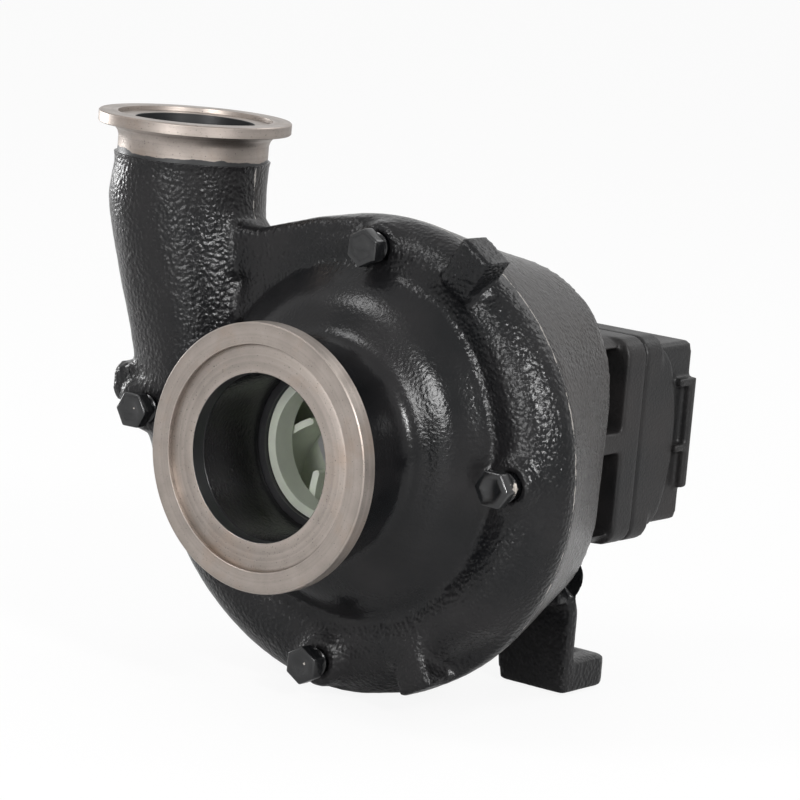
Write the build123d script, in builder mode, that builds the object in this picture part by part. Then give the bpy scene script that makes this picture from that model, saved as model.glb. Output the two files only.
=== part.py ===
"""End-suction volute centrifugal pump, close-coupled to a hydraulic gear motor.

Frame: the shaft lies along Y. The origin is the centre of the suction flange's face, +Y points
towards the motor, +X is the side that the idler gear lies on, and +Z is up, along the discharge.
"""
import os
from math import acos, cos, pi, radians, sin, sqrt, tan

from build123d import *

os.makedirs("parts", exist_ok=True)

# ---------------------------------------------------------------- driving dimensions, millimetres
# Fits
running_clearance = 0.05      # shaft in a bearing
free_gap = 0.4                # pieces that turn past each other

# Suction flange and neck
suction_flange_od = 109.5
suction_flange_thickness = 7.5
suction_bore = 68.4
gasket_seat_od = 91.6
gasket_seat_depth = 1.5
neck_od = 88.0
neck_length = 37.0

# Discharge flange and nozzle
discharge_flange_od = 82.5
discharge_flange_thickness = 5.0
discharge_bore = 50.8
discharge_seat_od = 66.0
discharge_seat_depth = 2.0
discharge_x = -108.6
discharge_top = 122.0

# Scroll
scroll_y = 76.0               # centre plane of the scroll, from the suction face
scroll_wall = 8.0
scroll_start = -58.0          # degrees clockwise from the top, seen from the suction side
tongue_angle = -14.0
scroll_centre_radius = 81.0   # at the top; it grows by scroll_centre_growth down to the throat
scroll_centre_growth = 6.0
scroll_tube_start = 13.5      # outer radius of the tube at the top
scroll_tube_growth = 10.5
nozzle_straight = 104.0       # height at which the nozzle is round and upright
turned_step = 0.5             # turned faces stand this far off the cast ones beside them

# Casing body
face_disc_radius = 75.0
face_disc_y = 62.0
rim_radius = 100.0
rim_centre = (1.5, -5.0)
rim_width = 7.0
casing_back_y = 136.0
casing_back_radius = 81.0
casing_bolt_circle = 75.0
casing_boss_radius = 14.0
casing_bolt_diameter = 8.0
casing_register_radius = 69.0

# Chucking lugs: angle clockwise from the top, radius of the outer face
lugs = ((33.0, 107.0), (153.0, 105.5), (273.0, 121.0))
lug_width = 16.5
lug_length = 16.0
lug_front_y = 56.0
lug_depth = 22.0

# Pipe plugs: name, angle, radius, height of the boss face above the scroll's centre plane
plugs = (
    ("vent_plug", 3.0, 83.0, 14.0),
    ("right_side_plug", 91.0, 84.5, 19.5),
    ("drain_plug", 181.0, 91.5, 23.5),
    ("left_side_plug", 269.0, 102.5, 25.0),
)
plug_hex = 14.3
plug_head = 6.0
plug_thread_radius = 5.6
plug_thread_shown = 4.2
plug_thread_length = 11.0
plug_boss_radius = 10.5

# Frame (mounting flange with feet)
flange_thickness = 10.0
bracket_thickness = 7.0
bracket_half_width = 60.0
base_height = 106.0
foot_width = 34.0
foot_length = 32.0
foot_height = 14.0
foot_hole_diameter = 11.0
seal_housing_radius = 28.0
seal_wall_y = 87.0            # front face of the frame's wall behind the impeller
seal_wall_thickness = 9.0
seal_pocket_radius = 19.5
seal_seat_y = 112.0
seal_seat_radius = 16.0
seal_seat_length = 7.0

# Impeller
impeller_radius = 62.0
impeller_eye_radius = 27.2
impeller_eye_y = 46.0
eye_wall = 3.8
wear_ring_y = 44.0
wear_ring_length = 9.0
wear_ring_radius = 36.7
shroud_thickness = 2.6
outlet_width = 9.0
blade_count = 6
blade_thickness = 2.8
hub_radius = 15.0
hub_back_y = 92.0

# Shaft
shaft_radius = 8.0
shaft_nose_radius = 6.0
shaft_nose_y = 51.0
hub_front_y = 62.0
nut_hex = 19.0
nut_height = 7.0
washer_thickness = 1.6
key_width = 5.0
journal_radius = 10.0

# Motor
motor_right = 60.0
motor_left = -42.0
motor_half_height = 41.0
motor_corner = 14.0
front_cover_length = 27.0
pilot_radius = 30.0
gear_face = 20.0
rear_cover_end = 218.0
rear_inset = 6.0
arc_depth = 14.0
pocket_depth = 15.0
pocket_front = 4.0            # thickness of the mounting flange in front of the bolt pockets
pocket_length = 9.0
motor_bolt_diameter = 8.0
mount_bolt_x = (-35.0, 53.0)
mount_bolt_z = 27.0
tie_bolt_x = (-31.0, 49.0)
tie_bolt_z = 30.0
port_radius = 9.3
port_depth = 12.0
port_z = 20.0
port_passage_radius = 7.0
idler_journal_radius = 8.0
bush_wall = 3.0
gear_teeth = 12
gear_module = 3.0
pressure_angle = 25.0
gear_backlash = 0.24

# ---------------------------------------------------------------- worked-out stations
flange_back_y = casing_back_y + flange_thickness
motor_y = flange_back_y + bracket_thickness
motor_joint_y = motor_y + front_cover_length
body_side_end = motor_joint_y + 13.0
body_mid_end = body_side_end + arc_depth
idler_x = gear_teeth * gear_module
bearing_y = flange_back_y + 4
bearing_width = 12.0
bearing_outer = 21.0
lip_seal_y = bearing_y + bearing_width + 0.5
lip_seal_width = 6.0
lip_seal_radius = 17.0
bush_length = 10.0
journal_end = motor_joint_y + gear_face + 12


def station(y):
    """Plane across the shaft at y: its x is the frame's X and its y is the frame's Z."""
    return Plane.XZ.offset(-y)


def clock(angle, radius):
    """X and Z of a point at an angle clockwise from the top, seen from the suction side."""
    return radius * sin(radians(angle)), radius * cos(radians(angle))


def scroll_section(angle, offset=0.0):
    """Plane and tube radius of the scroll: up to 270 degrees a spiral, then the nozzle to 360."""
    if angle <= 270:
        turn = angle / 270
        x, z = clock(angle, scroll_centre_radius + scroll_centre_growth * turn)
        along = (cos(radians(angle)), 0, -sin(radians(angle)))
        tube = scroll_tube_start + scroll_tube_growth * turn
    else:
        rise = (angle - 270) / 90
        blend = 1.4 * rise - 0.4 * rise**2
        throat_x = -(scroll_centre_radius + scroll_centre_growth)
        x = throat_x + (discharge_x - throat_x) * blend
        z = nozzle_straight * rise
        lean = (discharge_x - throat_x) * (1.4 - 0.8 * rise) / nozzle_straight * (1 - rise)
        along = (lean, 0, 1)
        throat = scroll_tube_start + scroll_tube_growth
        tube = throat + (discharge_bore / 2 + scroll_wall - throat) * blend
    plane = Plane(origin=(x, scroll_y, z), x_dir=(0, 1, 0), z_dir=along)
    return plane, tube - offset


def hexagon(across_flats):
    """Circumscribed radius of a hexagon."""
    return across_flats / sqrt(3)


def save(part, name):
    """Label a finished piece and write its STEP file."""
    part.label = name
    export_step(part, f"parts/{name}.step")


# ---------------------------------------------------------------- volute casing
nozzle_radius = discharge_bore / 2 + scroll_wall

with BuildPart() as volute_casing:
    # Suction flange, neck and domed front, turned about the shaft
    with BuildSketch(Plane.XY):
        with BuildLine():
            Polyline(
                (0, scroll_y + 8), (0, 0), (suction_flange_od / 2, 0),
                (suction_flange_od / 2, suction_flange_thickness),
                (neck_od / 2 + 2.5, suction_flange_thickness + 4),
                (neck_od / 2, suction_flange_thickness + 7),
                (neck_od / 2, neck_length),
            )
            Spline(
                (neck_od / 2, neck_length), (neck_od / 2 + 14, neck_length + 11),
                (face_disc_radius, face_disc_y),
                tangents=((0, 1), (1, 0.9)),
            )
            Polyline(
                (face_disc_radius, face_disc_y), (face_disc_radius, scroll_y + 8), (0, scroll_y + 8)
            )
        make_face()
    revolve(axis=Axis.Y)

    # Scroll in two lofts that meet at the lower right, then the upright nozzle
    for first, last, steps in ((scroll_start, 130, 4), (130, 360, 6)):
        for step in range(steps + 1):
            plane, tube = scroll_section(first + (last - first) * step / steps)
            with BuildSketch(plane):
                Circle(tube)
        loft()
    with BuildSketch(Plane.XY.offset(nozzle_straight - 1)):
        with Locations((discharge_x, scroll_y)):
            Circle(nozzle_radius + turned_step)
    extrude(amount=discharge_top - nozzle_straight)
    with BuildSketch(Plane.XY.offset(discharge_top - discharge_flange_thickness)):
        with Locations((discharge_x, scroll_y)):
            Circle(discharge_flange_od / 2)
    extrude(amount=discharge_flange_thickness)
    with BuildSketch(Plane.XY.offset(discharge_top - discharge_flange_thickness)):
        with Locations((discharge_x, scroll_y)):
            Circle(discharge_flange_od / 2 - 3)
    extrude(amount=-3, taper=45)

    # Rim band on the mould's parting plane, then the body that narrows to the back joint
    with BuildSketch(station(scroll_y - rim_width / 2)):
        with Locations(rim_centre):
            Circle(rim_radius)
    extrude(amount=-rim_width)
    with BuildSketch(station(scroll_y + rim_width / 2)):
        with Locations(rim_centre):
            Circle(rim_radius)
    with BuildSketch(station(casing_back_y)):
        Circle(casing_back_radius)
    loft()
    with BuildSketch(station(casing_back_y)):
        with PolarLocations(casing_bolt_circle, 4, start_angle=45):
            Circle(casing_boss_radius)
    extrude(amount=42)

    # Chucking lugs and plug bosses
    for angle, radius in lugs:
        x, z = clock(angle, radius - lug_depth / 2)
        with BuildSketch(station(lug_front_y)):
            with Locations(Location((x, z), -angle)):
                Rectangle(lug_width, lug_depth)
        extrude(amount=-lug_length)
    for name, angle, radius, height in plugs:
        with BuildSketch(station(scroll_y - height)):
            with Locations(clock(angle, radius)):
                Circle(plug_boss_radius)
        extrude(amount=-height, taper=-6)

    # Water side: suction bore, impeller chamber, scroll passage and discharge bore
    chamber_radius = impeller_radius + 2.5
    with BuildSketch(Plane.XY):
        with BuildLine():
            Polyline(
                (0, -1), (gasket_seat_od / 2, -1), (gasket_seat_od / 2, gasket_seat_depth),
                (suction_bore / 2, gasket_seat_depth), (suction_bore / 2, wear_ring_y),
                (wear_ring_radius, wear_ring_y), (wear_ring_radius, wear_ring_y + wear_ring_length),
                (chamber_radius - 4, scroll_y - outlet_width / 2 - 5.5),
                (chamber_radius, scroll_y - outlet_width / 2 - 2),
                (scroll_centre_radius - 3, scroll_y - outlet_width / 2 - 1),
                (scroll_centre_radius - 3, seal_wall_y - 1), (0, seal_wall_y - 1), (0, -1),
            )
        make_face()
    revolve(axis=Axis.Y, mode=Mode.SUBTRACT)
    for first, last, steps in ((tongue_angle, 130, 4), (130, 360, 6)):
        for step in range(steps + 1):
            plane, tube = scroll_section(first + (last - first) * step / steps, scroll_wall + turned_step)
            with BuildSketch(plane):
                Circle(tube)
        loft(mode=Mode.SUBTRACT)
    with BuildSketch(Plane.XY.offset(nozzle_straight - 1)):
        with Locations((discharge_x, scroll_y)):
            Circle(discharge_bore / 2)
    extrude(amount=discharge_top, mode=Mode.SUBTRACT)
    with BuildSketch(Plane.XY.offset(discharge_top - discharge_seat_depth)):
        with Locations((discharge_x, scroll_y)):
            Circle(discharge_seat_od / 2)
    extrude(amount=discharge_seat_depth, mode=Mode.SUBTRACT)

    # Back register for the frame, bolt holes and plug holes
    with BuildSketch(station(casing_back_y)):
        Circle(casing_register_radius)
    extrude(amount=casing_back_y - seal_wall_y + 2, mode=Mode.SUBTRACT)
    with BuildSketch(station(casing_back_y)):
        with PolarLocations(casing_bolt_circle + 2, 4, start_angle=45):
            Circle(casing_bolt_diameter / 2)
    extrude(amount=22, mode=Mode.SUBTRACT)
    for name, angle, radius, height in plugs:
        with BuildSketch(station(scroll_y - height)):
            with Locations(clock(angle, radius)):
                Circle(plug_thread_radius)
        extrude(amount=-height, mode=Mode.SUBTRACT)
save(volute_casing.part, "volute_casing")

# ---------------------------------------------------------------- pipe plugs, one node each
for name, angle, radius, height in plugs:
    face_y = scroll_y - height
    spot = clock(angle, radius)
    with BuildPart() as plug:
        with BuildSketch(station(face_y - plug_thread_shown)):
            with Locations(spot):
                RegularPolygon(hexagon(plug_hex), 6, rotation=angle)
        extrude(amount=plug_head)
        chamfer(plug.faces().sort_by(Axis.Y)[0].edges(), 0.7)
        with BuildSketch(station(face_y - plug_thread_shown)):
            with Locations(spot):
                Circle(plug_thread_radius + 0.7)
        extrude(amount=-1.2)
        with BuildSketch(station(face_y - plug_thread_shown)):
            with Locations(spot):
                Circle(plug_thread_radius - running_clearance)
        extrude(amount=-plug_thread_length)
    save(plug.part, name)

# ---------------------------------------------------------------- wear ring in the casing's eye
with BuildPart() as wear_ring:
    with BuildSketch(station(wear_ring_y)):
        Circle(wear_ring_radius - running_clearance)
        Circle(impeller_eye_radius + eye_wall + free_gap, mode=Mode.SUBTRACT)
    extrude(amount=-wear_ring_length)
save(wear_ring.part, "wear_ring")

# ---------------------------------------------------------------- impeller
outlet_front = scroll_y - outlet_width / 2
outlet_back = scroll_y + outlet_width / 2
shroud_outer_eye = impeller_eye_radius + eye_wall

with BuildPart() as impeller:
    # Blades first, trimmed to the space between the two shrouds
    with BuildSketch(station(outlet_back + 0.5)):
        with BuildLine(mode=Mode.PRIVATE):
            camber = ThreePointArc(
                (21, -6), clock(62, 46), (impeller_radius * cos(radians(66)), impeller_radius * sin(radians(66)))
            )
        with PolarLocations(0, blade_count):
            SlotArc(camber, blade_thickness)
    extrude(amount=outlet_back - impeller_eye_y - 9)
    with BuildSketch(Plane.XY):
        with BuildLine():
            Polyline(
                (0, 40), (80, 40), (80, outlet_front - 0.8), (impeller_radius, outlet_front - 0.8),
            )
            Spline(
                (impeller_radius, outlet_front - 0.8), (42, outlet_front - 7.6),
                (impeller_eye_radius + 1, impeller_eye_y + 12),
            )
            Polyline((impeller_eye_radius + 1, impeller_eye_y + 12), (0, impeller_eye_y + 22), (0, 40))
        make_face()
    revolve(axis=Axis.Y, mode=Mode.SUBTRACT)
    with BuildSketch(station(outlet_back + 5)):
        Circle(impeller_radius + 6)
        Circle(impeller_radius - 0.3, mode=Mode.SUBTRACT)
    extrude(amount=40, mode=Mode.SUBTRACT)
    # Front shroud with its eye, then the back shroud with its hub
    with BuildSketch(Plane.XY):
        with BuildLine():
            Polyline(
                (impeller_radius, outlet_front), (impeller_radius, outlet_front - shroud_thickness)
            )
            Spline(
                (impeller_radius, outlet_front - shroud_thickness), (44, outlet_front - 9.2),
                (shroud_outer_eye, impeller_eye_y + 10),
            )
            Polyline(
                (shroud_outer_eye, impeller_eye_y + 10), (shroud_outer_eye, impeller_eye_y),
                (impeller_eye_radius, impeller_eye_y), (impeller_eye_radius, impeller_eye_y + 11),
            )
            Spline(
                (impeller_eye_radius, impeller_eye_y + 11), (43, outlet_front - 6),
                (impeller_radius, outlet_front),
            )
        make_face()
    revolve(axis=Axis.Y)
    with BuildSketch(Plane.XY):
        with BuildLine():
            Polyline(
                (shaft_radius + running_clearance, hub_front_y), (hub_radius - 1.5, hub_front_y),
            )
            Spline(
                (hub_radius - 1.5, hub_front_y), (hub_radius + 9, outlet_back - 4),
                (impeller_radius, outlet_back),
                tangents=((0.35, 1), (1, 0)),
            )
            Polyline(
                (impeller_radius, outlet_back), (impeller_radius, outlet_back + shroud_thickness),
                (hub_radius, outlet_back + shroud_thickness), (hub_radius, hub_back_y),
                (shaft_radius + running_clearance, hub_back_y),
                (shaft_radius + running_clearance, hub_front_y),
            )
        make_face()
    revolve(axis=Axis.Y)
    with BuildSketch(station(hub_front_y)):
        Circle(shaft_radius + running_clearance)
        with Locations((0, shaft_radius)):
            Rectangle(key_width, key_width + 2 * running_clearance)
    extrude(amount=-(hub_back_y - hub_front_y), mode=Mode.SUBTRACT)
save(impeller.part, "impeller")

with BuildPart() as impeller_washer:
    with BuildSketch(station(hub_front_y)):
        Circle(hub_radius - 2.5)
        Circle(shaft_nose_radius + running_clearance, mode=Mode.SUBTRACT)
    extrude(amount=washer_thickness)
save(impeller_washer.part, "impeller_washer")

with BuildPart() as impeller_nut:
    with BuildSketch(station(hub_front_y - washer_thickness)):
        RegularPolygon(hexagon(nut_hex), 6)
        Circle(shaft_nose_radius + running_clearance, mode=Mode.SUBTRACT)
    extrude(amount=nut_height)
save(impeller_nut.part, "impeller_nut")

with BuildPart() as impeller_key:
    with BuildSketch(station(hub_front_y + 6)):
        with Locations((0, shaft_radius)):
            Rectangle(key_width - 2 * running_clearance, key_width)
    extrude(amount=-20)
save(impeller_key.part, "impeller_key")


# ---------------------------------------------------------------- gears of the motor
def tooth_flank(radius):
    """Half of a tooth's angle, in radians, at a radius outside the base circle."""
    pitch = gear_teeth * gear_module / 2
    base = pitch * cos(radians(pressure_angle))
    swung = acos(min(1, base / radius))
    involute = tan(radians(pressure_angle)) - radians(pressure_angle)
    return pi / (2 * gear_teeth) - gear_backlash / (2 * pitch) + involute - (tan(swung) - swung)


def gear_blank(y, length, centre_x, phase):
    """Teeth and root disc of a spur gear standing at centre_x."""
    pitch = gear_teeth * gear_module / 2
    base = pitch * cos(radians(pressure_angle))
    root, tip = pitch - 1.2 * gear_module, pitch + 0.95 * gear_module
    radii = (base, (base + pitch) / 2, pitch, (pitch + tip) / 2, tip)
    flank = [(r * cos(tooth_flank(r)), r * sin(tooth_flank(r))) for r in radii]
    foot = (root - 0.6, flank[0][1])
    with BuildSketch(Plane.XY) as tooth:
        with BuildLine():
            Polyline(foot, flank[0])
            Spline(flank)
            Line(flank[-1], (flank[-1][0], -flank[-1][1]))
            Spline([(px, -pz) for px, pz in reversed(flank)])
            Polyline((flank[0][0], -flank[0][1]), (foot[0], -foot[1]), foot)
        make_face()
    with BuildPart() as blank:
        with BuildSketch(station(y)):
            with Locations((centre_x, 0)):
                Circle(root)
                with PolarLocations(0, gear_teeth, start_angle=phase):
                    add(tooth.sketch)
        extrude(amount=-length)
    return blank.part


gear_y = motor_joint_y + 0.2
gear_length = gear_face - 0.2

with BuildPart() as drive_shaft:
    for y, end, radius in (
        (shaft_nose_y, hub_front_y, shaft_nose_radius),
        (hub_front_y, bearing_y - 2, shaft_radius),
        (bearing_y - 2, journal_end, journal_radius),
    ):
        with BuildSketch(station(y)):
            Circle(radius)
        extrude(amount=-(end - y))
    add(gear_blank(gear_y, gear_length, 0, 0))
    with BuildSketch(station(hub_front_y + 6 - running_clearance)):
        with Locations((0, shaft_radius)):
            Rectangle(key_width, key_width + 2 * running_clearance)
    extrude(amount=-(20 + 2 * running_clearance), mode=Mode.SUBTRACT)
    chamfer(drive_shaft.faces().sort_by(Axis.Y)[0].edges(), 0.8)
    chamfer(drive_shaft.faces().sort_by(Axis.Y)[-1].edges(), 0.8)
save(drive_shaft.part, "drive_shaft")

with BuildPart() as idler_gear:
    with BuildSketch(station(motor_joint_y - bush_length)):
        with Locations((idler_x, 0)):
            Circle(idler_journal_radius)
    extrude(amount=-(journal_end - motor_joint_y + bush_length))
    add(gear_blank(gear_y, gear_length, idler_x, 180 / gear_teeth))
save(idler_gear.part, "idler_gear")

# ---------------------------------------------------------------- mounting frame with its feet
with BuildPart() as mounting_frame:
    # Register cup and seal housing, turned about the shaft
    cup_radius = casing_register_radius - running_clearance
    cup_inner = cup_radius - 9
    seal_back = seal_seat_y + seal_seat_length
    with BuildSketch(Plane.XY):
        with BuildLine():
            Polyline(
                (seal_pocket_radius, seal_wall_y), (cup_radius, seal_wall_y),
                (cup_radius, flange_back_y), (cup_inner, flange_back_y),
                (cup_inner, seal_wall_y + seal_wall_thickness),
                (seal_housing_radius, seal_wall_y + seal_wall_thickness),
                (seal_housing_radius, seal_back + 3),
                (shaft_radius + 1.2, seal_back + 3), (shaft_radius + 1.2, seal_back),
                (seal_seat_radius, seal_back), (seal_seat_radius, seal_seat_y),
                (seal_pocket_radius, seal_seat_y), (seal_pocket_radius, seal_wall_y),
            )
        make_face()
    revolve(axis=Axis.Y)
    # Flange plate with its four ears
    with BuildSketch(station(casing_back_y)):
        Circle(casing_back_radius)
        with PolarLocations(casing_bolt_circle, 4, start_angle=45):
            Circle(casing_boss_radius)
        Circle(cup_inner, mode=Mode.SUBTRACT)
    extrude(amount=-flange_thickness)
    # Bracket plate with two legs, and the pilot bore for the motor
    with BuildSketch(station(flange_back_y)):
        with BuildLine():
            Polyline(
                (-bracket_half_width, -base_height), (-bracket_half_width, 30),
                (-44, 62), (44, 62), (bracket_half_width, 30), (bracket_half_width, -base_height),
                (bracket_half_width - foot_width, -base_height),
                (bracket_half_width - foot_width - 5, -84),
            )
            ThreePointArc(
                (bracket_half_width - foot_width - 5, -84), (0, -74),
                (foot_width - bracket_half_width + 5, -84),
            )
            Polyline(
                (foot_width - bracket_half_width + 5, -84),
                (foot_width - bracket_half_width, -base_height), (-bracket_half_width, -base_height),
            )
        make_face()
        with PolarLocations(casing_bolt_circle + 2, 4, start_angle=45):
            Circle(10)
    extrude(amount=-bracket_thickness)
    with BuildSketch(station(flange_back_y)):
        Circle(pilot_radius)
    extrude(amount=-bracket_thickness, mode=Mode.SUBTRACT)
    # Feet
    for side in (-1, 1):
        foot_x = side * (bracket_half_width - foot_width / 2)
        with BuildSketch(Plane.XY.offset(-base_height)):
            with Locations((foot_x, flange_back_y + foot_length / 2)):
                Rectangle(foot_width, foot_length)
        extrude(amount=foot_height)
    vertical = mounting_frame.edges().filter_by(Axis.Z)
    fillet(vertical.group_by(Axis.Y)[-1], 5)
    with BuildSketch(Plane.XY.offset(-base_height)):
        with GridLocations(2 * bracket_half_width - foot_width, 0, 2, 1):
            with Locations((0, flange_back_y + bracket_thickness + 12)):
                Circle(foot_hole_diameter / 2)
    extrude(amount=foot_height, mode=Mode.SUBTRACT)
    # Bolt holes: four to the casing, four for the motor
    with BuildSketch(station(casing_back_y)):
        with PolarLocations(casing_bolt_circle + 2, 4, start_angle=45):
            Circle(casing_bolt_diameter / 2 + 0.5)
        for x in mount_bolt_x:
            with Locations((x, mount_bolt_z), (x, -mount_bolt_z)):
                Circle(motor_bolt_diameter / 2)
    extrude(amount=-(flange_thickness + bracket_thickness), mode=Mode.SUBTRACT)
save(mounting_frame.part, "mounting_frame")

# ---------------------------------------------------------------- mechanical seal
with BuildPart() as seal_seat:
    with BuildSketch(station(seal_seat_y)):
        Circle(seal_seat_radius - 3)
        Circle(shaft_radius + 0.8, mode=Mode.SUBTRACT)
    extrude(amount=-seal_seat_length)
save(seal_seat.part, "seal_seat")

with BuildPart() as seat_cup:
    with BuildSketch(station(seal_seat_y)):
        Circle(seal_seat_radius)
        Circle(seal_seat_radius - 3, mode=Mode.SUBTRACT)
    extrude(amount=-seal_seat_length)
save(seat_cup.part, "seat_cup")

with BuildPart() as seal_face:
    with BuildSketch(station(seal_seat_y - 6)):
        Circle(seal_seat_radius - 3.5)
        Circle(shaft_radius + running_clearance, mode=Mode.SUBTRACT)
    extrude(amount=-(6 - running_clearance))
save(seal_face.part, "seal_face")

with BuildPart() as seal_head:
    with BuildSketch(station(hub_back_y)):
        Circle(seal_pocket_radius - 3)
        Circle(shaft_radius + running_clearance, mode=Mode.SUBTRACT)
    extrude(amount=-(seal_seat_y - 6 - hub_back_y))
save(seal_head.part, "seal_head")

# ---------------------------------------------------------------- motor bearing and lip seal
race_wall = 3.5
ball_circle = (journal_radius + bearing_outer) / 2
ball_radius = (bearing_outer - journal_radius - 2 * race_wall) / 2 + 1.2
with BuildPart() as bearing_outer_race:
    with BuildSketch(station(bearing_y)):
        Circle(bearing_outer)
        Circle(bearing_outer - race_wall, mode=Mode.SUBTRACT)
    extrude(amount=-bearing_width)
    with BuildSketch(Plane.XY):
        with Locations((ball_circle, bearing_y + bearing_width / 2)):
            Circle(ball_radius + running_clearance)
    revolve(axis=Axis.Y, mode=Mode.SUBTRACT)
save(bearing_outer_race.part, "bearing_outer_race")

with BuildPart() as bearing_inner_race:
    with BuildSketch(station(bearing_y)):
        Circle(journal_radius + race_wall)
        Circle(journal_radius, mode=Mode.SUBTRACT)
    extrude(amount=-bearing_width)
    with BuildSketch(Plane.XY):
        with Locations((ball_circle, bearing_y + bearing_width / 2)):
            Circle(ball_radius + running_clearance)
    revolve(axis=Axis.Y, mode=Mode.SUBTRACT)
save(bearing_inner_race.part, "bearing_inner_race")

with BuildPart() as bearing_balls:
    with Locations(station(bearing_y + bearing_width / 2)):
        with PolarLocations(ball_circle, 8):
            Sphere(ball_radius)
save(bearing_balls.part, "bearing_balls")

with BuildPart() as lip_seal:
    with BuildSketch(station(lip_seal_y)):
        Circle(lip_seal_radius)
        Circle(journal_radius + running_clearance, mode=Mode.SUBTRACT)
    extrude(amount=-lip_seal_width)
save(lip_seal.part, "lip_seal")

# ---------------------------------------------------------------- motor housings
motor_middle = (motor_left + motor_right) / 2
motor_width = motor_right - motor_left

with BuildPart() as motor_front_cover:
    with BuildSketch(station(motor_y)):
        with Locations((motor_middle, 0)):
            RectangleRounded(motor_width, 2 * motor_half_height, motor_corner)
    extrude(amount=-front_cover_length)
    with BuildSketch(station(flange_back_y)):
        Circle(pilot_radius - running_clearance)
    extrude(amount=-bracket_thickness)
    # Bolt pockets open to the sides, a web between each pair
    with BuildSketch(station(motor_y + pocket_front)):
        for side_x, inward in ((motor_right, -1), (motor_left, 1)):
            for low, high in ((-36, -2), (6, 37)):
                with Locations((side_x + inward * (pocket_depth / 2 - 2), (low + high) / 2)):
                    Rectangle(pocket_depth + 4, high - low)
    extrude(amount=-pocket_length, mode=Mode.SUBTRACT)
    with BuildSketch(station(motor_y)):
        for x in mount_bolt_x:
            with Locations((x, mount_bolt_z), (x, -mount_bolt_z)):
                Circle(motor_bolt_diameter / 2 + 0.4)
    extrude(amount=-pocket_front, mode=Mode.SUBTRACT)
    # Bearing, seal and bush bores
    for y, end, radius in (
        (flange_back_y, bearing_y + bearing_width, bearing_outer),
        (bearing_y, lip_seal_y + lip_seal_width, lip_seal_radius),
        (lip_seal_y, motor_joint_y - bush_length, journal_radius + 1),
        (motor_joint_y - bush_length, motor_joint_y, journal_radius + bush_wall),
    ):
        with BuildSketch(station(y)):
            Circle(radius)
        extrude(amount=-(end - y), mode=Mode.SUBTRACT)
    with BuildSketch(station(motor_joint_y)):
        with Locations((idler_x, 0)):
            Circle(idler_journal_radius + bush_wall)
    extrude(amount=bush_length + 1, mode=Mode.SUBTRACT)
    with BuildSketch(station(motor_joint_y)):
        for x in tie_bolt_x:
            with Locations((x, tie_bolt_z), (x, -tie_bolt_z)):
                Circle(motor_bolt_diameter / 2)
    extrude(amount=12, mode=Mode.SUBTRACT)
save(motor_front_cover.part, "motor_front_cover")


def side_profile(back, half_height):
    """Side view of the motor body on YZ: a flat front and an arched back."""
    Polyline((back[0], -half_height), (motor_joint_y, -half_height), (motor_joint_y, half_height),
             (back[0], half_height))
    ThreePointArc((back[0], half_height), (back[1], 0), (back[0], -half_height))


with BuildPart() as motor_body:
    with BuildSketch(station(motor_joint_y)):
        with Locations((motor_middle, 0)):
            RectangleRounded(motor_width, 2 * motor_half_height, motor_corner)
    extrude(amount=-(body_mid_end - motor_joint_y))
    with BuildSketch(Plane.YZ.offset(motor_left - 1)):
        with BuildLine():
            side_profile((body_side_end, body_mid_end), motor_half_height)
        make_face()
    extrude(amount=motor_width + 2, mode=Mode.INTERSECT)
    # Gear chamber, open to the front
    with BuildSketch(station(motor_joint_y)):
        with Locations((0, 0), (idler_x, 0)):
            Circle(gear_teeth * gear_module / 2 + gear_module + free_gap / 2)
    extrude(amount=-(gear_face + 0.2), mode=Mode.SUBTRACT)
    with BuildSketch(station(motor_joint_y)):
        Circle(journal_radius + bush_wall)
        with Locations((idler_x, 0)):
            Circle(idler_journal_radius + bush_wall)
        for x in tie_bolt_x:
            with Locations((x, tie_bolt_z), (x, -tie_bolt_z)):
                Circle(motor_bolt_diameter / 2 + 0.4)
    extrude(amount=-(body_mid_end - motor_joint_y), mode=Mode.SUBTRACT)
    # Supply and return passages, above and below the mesh
    with BuildSketch(station(motor_joint_y + gear_face / 2)):
        with Locations((idler_x / 2, port_z), (idler_x / 2, -port_z)):
            Circle(port_passage_radius)
    extrude(amount=-(body_mid_end - motor_joint_y), mode=Mode.SUBTRACT)
save(motor_body.part, "motor_body")

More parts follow.
